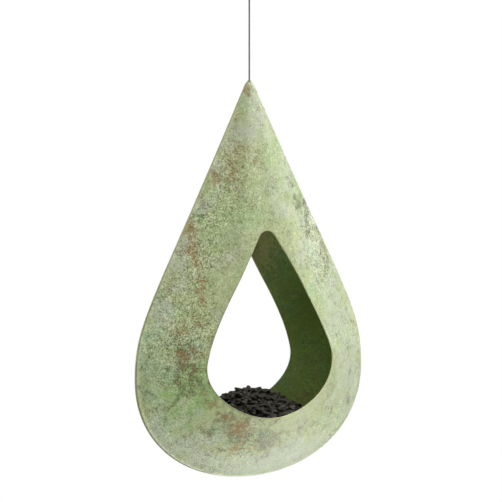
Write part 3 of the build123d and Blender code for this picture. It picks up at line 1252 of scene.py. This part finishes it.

# %% [markdown]
# ## Where the patches are
#
# A finish made by hand is uneven in its own way: more rust down the left flank, pale ash towards the
# bottom, soot low down, and painted shade below the opening's rim, which is kept with the soot. Each
# patch is a soft oval, given by its middle, its half sizes and its strength. Painting vertices by
# hand would give the same masks, but numbers can be read and changed. Coarse is where the crust is
# roughest, and umber is the tan of the inside.

# %% Patches
# Each patch is (x, distance below the tip, half width, half height, strength), in millimetres.
# Both halves were treated alike, so the rear one has its patches too, in other places.
patches = {
    "front_shell": {
        "rust": [
            (-5, 9, 2.4, 6, 2.6), (-18, 35, 4, 6, 0.6), (-20, 66, 9, 12, 0.8),
            (-30, 90, 8, 14, 0.8), (-45, 99, 9, 6, 0.7), (-2, 80, 8, 5, 0.6), (7, 27, 4, 8, 0.6),
            (-77, 150, 6, 12, 0.8), (-78, 168, 6, 8, 1.0), (-74, 180, 5, 10, 0.7),
            (-71, 196, 5, 6, 0.9), (-74, 213, 5, 12, 1.0), (-82, 234, 6, 8, 0.9),
            (-96, 244, 9, 6, 0.7), (-98, 270, 8, 14, 0.6), (-85, 266, 9, 9, 0.5),
            (-70, 318, 7, 6, 1.0), (-78, 307, 5, 5, 0.8), (-54, 333, 9, 5, 0.8),
            (-36, 344, 9, 8, 0.8), (-33, 367, 8, 7, 0.6), (-42, 352, 34, 12, 0.35),
            (5, 144, 8, 4, 0.5), (-47, 90, 4, 12, 0.8), (-61, 114, 4, 10, 0.7),
            (-76, 140, 5, 14, 0.7), (-88, 166, 5, 10, 0.5), (-46, 181, 2, 2, 1.0),
        ],
        "soot_and_shade": [
            (-97, 270, 16, 28, 0.8), (-100, 309, 20, 22, 0.35), (-96, 296, 12, 18, 0.5),
            # The three patches on the next line and the first one on the line after lie below the
            # opening: they are painted shade under its rim.
            (6, 364, 26, 14, 0.8), (-32, 348, 34, 20, 0.9), (-58, 336, 16, 10, 0.4),
            (50, 350, 34, 10, 0.5), (44, 102, 8, 26, 0.5), (63, 139, 9, 26, 0.6),
            (88, 176, 10, 26, 0.8), (117, 256, 9, 28, 0.5), (117, 322, 10, 22, 0.55),
            (57, 128, 10, 26, 0.4), (-66, 172, 16, 34, 0.45), (-22, 85, 12, 34, 0.3),
            (-130, 290, 7, 44, 0.45),
        ],
        "teal": [
            (-56, 117, 8, 8, 0.5), (-109, 232, 12, 14, 0.3), (-121, 249, 10, 12, 0.6),
            (-113, 285, 16, 12, 0.7), (-79, 299, 8, 12, 0.9), (-89, 326, 16, 12, 0.8),
            (-60, 349, 12, 9, 0.8), (66, 150, 8, 40, 0.5), (-130, 296, 10, 34, 0.8),
            (-114, 346, 12, 20, 0.7),
        ],
        "ash": [
            (70, 150, 20, 64, 0.6), (105, 270, 26, 80, 0.7), (60, 374, 54, 16, 0.7),
            (-20, 387, 64, 12, 0.8), (-89, 172, 11, 36, 0.6), (-45, 81, 7, 22, 0.6),
            (-102, 205, 10, 26, 0.4), (-90, 363, 26, 14, 0.7), (-62, 366, 22, 12, 0.45),
            (-48, 391, 40, 8, 0.9), (30, 393, 30, 8, 0.6), (-20, 50, 18, 20, 0.4),
            (-60, 122, 10, 16, 0.6), (-116, 338, 12, 16, 0.8), (-98, 362, 16, 10, 0.6),
            (-74, 382, 20, 8, 0.9), (18, 122, 12, 16, 0.5), (-114, 216, 8, 26, 0.4),
            (116, 318, 16, 32, 1.0), (6, 25, 16, 26, 0.9), (42, 88, 20, 52, 0.6),
            (50, 180, 12, 30, 0.2), (92, 214, 20, 40, 0.5),
        ],
        "moss": [
            (-78, 306, 20, 20, 1.0), (-102, 312, 20, 22, 0.8), (-72, 284, 14, 18, 0.8),
            (-88, 226, 14, 20, 0.5), (-66, 128, 8, 20, 0.3),
        ],
        "umber": [
            (20, 160, 26, 26, 0.6),
        ],
        "coarse": [
            (-32, 79, 14, 30, 0.6), (-45, 108, 14, 24, 0.7), (-62, 142, 16, 24, 1.0),
            (-71, 176, 16, 26, 1.0), (-86, 215, 18, 28, 0.9), (-98, 254, 20, 28, 1.0),
            (-112, 290, 28, 40, 0.8), (75, 160, 18, 60, 0.5),
        ],
    },
    "rear_shell": {
        "rust": [
            (12, 60, 8, 12, 0.8), (34, 105, 8, 14, 0.7), (70, 170, 6, 14, 0.9),
            (76, 214, 6, 12, 0.9), (-64, 190, 8, 16, 0.8), (-90, 262, 10, 12, 0.9),
            (40, 350, 12, 8, 0.8), (-40, 338, 10, 7, 0.7), (96, 300, 9, 12, 0.7),
        ],
        "soot_and_shade": [
            (84, 270, 18, 26, 0.6), (-70, 170, 12, 34, 0.5), (20, 354, 46, 14, 0.4),
        ],
        "teal": [
            (-46, 120, 12, 12, 0.8), (104, 232, 14, 18, 0.8), (-104, 300, 16, 18, 0.7),
            (0, 365, 16, 9, 0.6),
        ],
        "ash": [
            (-70, 160, 16, 60, 0.7), (110, 250, 20, 60, 0.7), (0, 385, 60, 12, 0.7),
        ],
        "umber": [
            (26, 168, 34, 34, 1.0), (72, 232, 16, 22, 0.2), (96, 320, 12, 16, 0.3),
        ],
        "coarse": [
            (60, 150, 16, 40, 0.9), (90, 240, 20, 40, 0.9), (-80, 220, 18, 50, 0.8),
            (-30, 90, 12, 30, 0.6),
        ],
    },
}
for name, kinds in patches.items():
    print(name, "patches:", sum(len(ovals) for ovals in kinds.values()))

# %% [markdown]
# ## Painting the patches
#
# At each vertex the ovals of one kind are added up, each fading out like a bell curve, and the
# sum is stored as a mask. The crust then breaks up these smooth masks with its own noise, so no
# oval ever shows as one.


# %% Paint the shells
def patch_mask(points, ovals):
    """The strength of some patches at each vertex."""
    total = np.zeros(len(points))
    below = (tip.z - points[:, 2]) / MM
    for x, down, half_width, half_height, strength in ovals:
        far = ((points[:, 0] / MM - x) / half_width) ** 2 + ((below - down) / half_height) ** 2
        total += strength * np.exp(-far)
    return np.clip(total, 0, 1)


for name, shell in shells.items():
    shell.data.materials.append(outside)
    shell.data.materials.append(inside)
    points = np.array([v.co for v in shell.data.vertices])
    for kind in ("rust", "soot_and_shade", "teal", "ash", "moss", "coarse", "umber"):
        mask = patch_mask(points, patches[name].get(kind, []))
        add_mask(shell, kind, mask)
        print(name, kind, "covers:", round(float((mask > 0.1).mean()), 3))

# %% [markdown]
# ## Cloudy metal
#
# The rope and the hook are galvanised steel: mid grey, softly shiny, with a faint cloudy spangle.
# Aluminium and brass weather into clouds as well. One group clouds a plain metal between a
# bright and a dull tone, and the dull parts are the smoother ones.

# %% Cloudy metal group
clouded, given, made = new_group(
    "clouded metal",
    {
        "Where": ("vector", None),
        "Bright": ("colour", srgb(150, 150, 150)),
        "Dull": ("colour", srgb(110, 110, 112)),
        "Scale": ("value", 300.0),
    },
    {"Color": "colour", "Roughness": "value", "Height": "value"},
)
cloud = wave(clouded, given.outputs["Where"], given.outputs["Scale"], detail=4.0)
tint = mixed(clouded, cloud, given.outputs["Dull"], given.outputs["Bright"])
clouded.links.new(tint, made.inputs["Color"])
clouded.links.new(rescaled(clouded, cloud, 0, 1, low=0.3, high=0.55), made.inputs["Roughness"])
clouded.links.new(cloud, made.inputs["Height"])
print("nodes in the clouded metal:", len(clouded.nodes))

# %% [markdown]
# ## The fittings' metals
#
# The hook and the washer are zinc plated, the ferrules are soft aluminium that can be crimped,
# and the bush in the tip is brass that has gone dull with the sheet. They are kept a little
# darker and less metallic than new metal, because all that they could mirror here is white.


# %% Metals
def metal_material(name, bright, dull, scale, metallic):
    """A plain metal with clouds."""
    material, tree, shader, where = new_material(name)
    settings = {"Where": where, "Bright": bright, "Dull": dull, "Scale": scale}
    clouds = add_node(tree, "ShaderNodeGroup", node_tree=clouded)
    for socket, value in settings.items():
        feed(tree, clouds.inputs[socket], value)
    tree.links.new(clouds.outputs["Color"], shader.inputs["Base Color"])
    tree.links.new(clouds.outputs["Roughness"], shader.inputs["Roughness"])
    emboss(tree, shader, clouds.outputs["Height"], strength=0.15, depth=0.1 * MM)
    shader.inputs["Metallic"].default_value = metallic
    return material


rope_steel = metal_material("rope_steel", srgb(128, 128, 130), srgb(84, 84, 88), 900, 0.7)
zinc = metal_material("zinc_plate", srgb(142, 144, 148), srgb(92, 94, 100), 350, 0.8)
soft_aluminium = metal_material("soft_aluminium", srgb(160, 161, 163), srgb(116, 117, 121), 700, 0.8)
dull_brass = metal_material("dull_brass", srgb(140, 128, 84), srgb(100, 104, 70), 600, 0.4)
wire_rope.data.materials.append(rope_steel)
fittings = {
    "s_hook": zinc,
    "stop_washer": zinc,
    "tip_bush": dull_brass,
    "stop_ferrule": soft_aluminium,
    "loop_ferrule": soft_aluminium,
}
for node, material in fittings.items():
    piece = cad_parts[node]
    piece.data.materials.clear()
    piece.data.materials.append(material)
print("fittings:", sorted(fittings))

# %% [markdown]
# ## Seed husks
#
# Oil sunflower husks are nearly black, with a dull sheen and fine lengthwise fibres that catch grey
# light. Pale flecks on them are partly lighter fibre and partly painted highlights. One material
# serves them all: each seed has its own tone, stored as a mask, so the heap doesn't look like one
# moulding.

# %% Husk
husk, tree, shader, where = new_material("seed_husk")
husk_colour = mixed(tree, mask_value(tree, "tone"), srgb(12, 11, 8), srgb(54, 51, 38))
# Pale flecks: partly lighter fibre, partly painted highlights.
pale_flecks_and_highlights = ramp(tree, wave(tree, where, 700), low=0.55, high=0.7)
pale_flecks_and_highlights = maths(tree, "MULTIPLY", pale_flecks_and_highlights, 0.35)
husk_colour = mixed(tree, pale_flecks_and_highlights, husk_colour, srgb(80, 76, 58))
fibres = wave(tree, where, 900, detail=3.0)
tree.links.new(husk_colour, shader.inputs["Base Color"])
tree.links.new(rescaled(tree, fibres, 0, 1, low=0.4, high=0.7), shader.inputs["Roughness"])
emboss(tree, shader, fibres, strength=0.5, depth=0.2 * MM)
shader.inputs["Specular IOR Level"].default_value = 0.15
seeds.data.materials.append(husk)

# %% [markdown]
# ## Chaff
#
# What shows between the seeds is more seed and broken husk in deep shade. The bed under them
# only has to be dark and dull, so two near-blacks are mixed by noise.

# %% Chaff
chaff, tree, shader, where = new_material("seed_chaff")
scraps = ramp(tree, wave(tree, where, 500), low=0.4, high=0.7)
tree.links.new(mixed(tree, scraps, srgb(18, 16, 15), srgb(40, 36, 32)), shader.inputs["Base Color"])
shader.inputs["Roughness"].default_value = 0.85
seed_bed.data.materials.append(chaff)

# %% [markdown]
# ## Floor
#
# The feeder hangs in front of plain white. A pale sheet far below it stops the view there and
# throws a little light up. Rays from the camera and off shiny surfaces see it as pure white,
# through a Light Path node, while every other ray sees plain matt paper. It lies so low that
# views from underneath stay clear of it.


# %% Floor
def seen_white(tree):
    """1 for rays from the camera or off a shiny surface, and 0 for the rest."""
    rays = add_node(tree, "ShaderNodeLightPath")
    return maths(tree, "MAXIMUM", rays.outputs["Is Camera Ray"], rays.outputs["Is Glossy Ray"])


floor_z = -8.2
floor_half = 30.0
corners = [(-1, -1), (1, -1), (1, 1), (-1, 1)]
floor_mesh = bpy.data.meshes.new("floor")
corner_points = [(x * floor_half, y * floor_half, floor_z) for x, y in corners]
floor_mesh.from_pydata(corner_points, [], [(0, 1, 2, 3)])
floor = bpy.data.objects.new("floor", floor_mesh)
bpy.context.scene.collection.objects.link(floor)
paper = bpy.data.materials.new("paper")
paper.use_nodes = True
tree = paper.node_tree
shader = tree.nodes["Principled BSDF"]
shader.inputs["Base Color"].default_value = srgb(235, 235, 233)
shader.inputs["Roughness"].default_value = 0.9
glow = add_node(tree, "ShaderNodeEmission", {"Color": (1, 1, 1, 1), "Strength": 1.0})
glow_on = add_node(tree, "ShaderNodeMixShader", {"Fac": seen_white(tree)})
tree.links.new(shader.outputs[0], glow_on.inputs[1])
tree.links.new(glow.outputs[0], glow_on.inputs[2])
tree.links.new(glow_on.outputs[0], tree.nodes["Material Output"].inputs["Surface"])
floor_mesh.materials.append(paper)
print("floor, metres across:", 2 * floor_half)

# %% [markdown]
# ## Sky
#
# The sky is the white behind the feeder and also a weak light from all round, which opens the
# shadows. As on the floor, the white that is seen and the light that is given are set apart, so
# that the background can be pure white while the pale crust keeps its tones.

# %% Sky
sky_light = 0.22
world = bpy.data.worlds.new("studio")
bpy.context.scene.world = world
world.use_nodes = True
tree = world.node_tree
tree.nodes.clear()
soft = add_node(tree, "ShaderNodeBackground", {"Color": (1, 1, 1, 1), "Strength": sky_light})
white = add_node(tree, "ShaderNodeBackground", {"Color": (1, 1, 1, 1), "Strength": 1.0})
sky = add_node(tree, "ShaderNodeMixShader", {"Fac": seen_white(tree)})
tree.links.new(soft.outputs[0], sky.inputs[1])
tree.links.new(white.outputs[0], sky.inputs[2])
out = add_node(tree, "ShaderNodeOutputWorld")
tree.links.new(sky.outputs[0], out.inputs["Surface"])
bpy.context.scene.view_settings.view_transform = "Standard"
print("light from the sky:", sky_light)

# %% [markdown]
# ## Lamps
#
# Six large soft lamps, like the panels of a studio. The key on the right makes that flank the
# brighter one. One overhead and one in front fill the rest, two from below light the bowl's
# underside as a white table would, and one behind on the left draws the edge there.


# %% Lamps
def lamp(name, azimuth, elevation, distance, size, power):
    """A square soft lamp aimed at the feeder, its angles in degrees and its size in metres."""
    data = bpy.data.lights.new(name, "AREA")
    data.shape = "SQUARE"
    data.size = size
    data.energy = power
    light = bpy.data.objects.new(name, data)
    away = away_from_feeder(math.radians(azimuth), math.radians(elevation))
    middle_of_body = tip - Vector((0, 0, body_height / 2))
    light.location = middle_of_body + away * distance
    light.rotation_mode = "QUATERNION"
    light.rotation_quaternion = away.to_track_quat("Z", "Y")
    bpy.context.scene.collection.objects.link(light)
    print(name, "power, W:", power)


lamp("key_right", azimuth=60, elevation=36, distance=2.5, size=1.6, power=82)
lamp("overhead", azimuth=0, elevation=88, distance=2.5, size=1.4, power=28)
lamp("fill_front", azimuth=-45, elevation=50, distance=3.0, size=2.0, power=21)
lamp("under_left", azimuth=-78, elevation=-58, distance=2.5, size=1.6, power=57)
lamp("edge_left", azimuth=-118, elevation=8, distance=2.5, size=1.6, power=34)
lamp("under_right", azimuth=98, elevation=-52, distance=2.5, size=1.6, power=56)
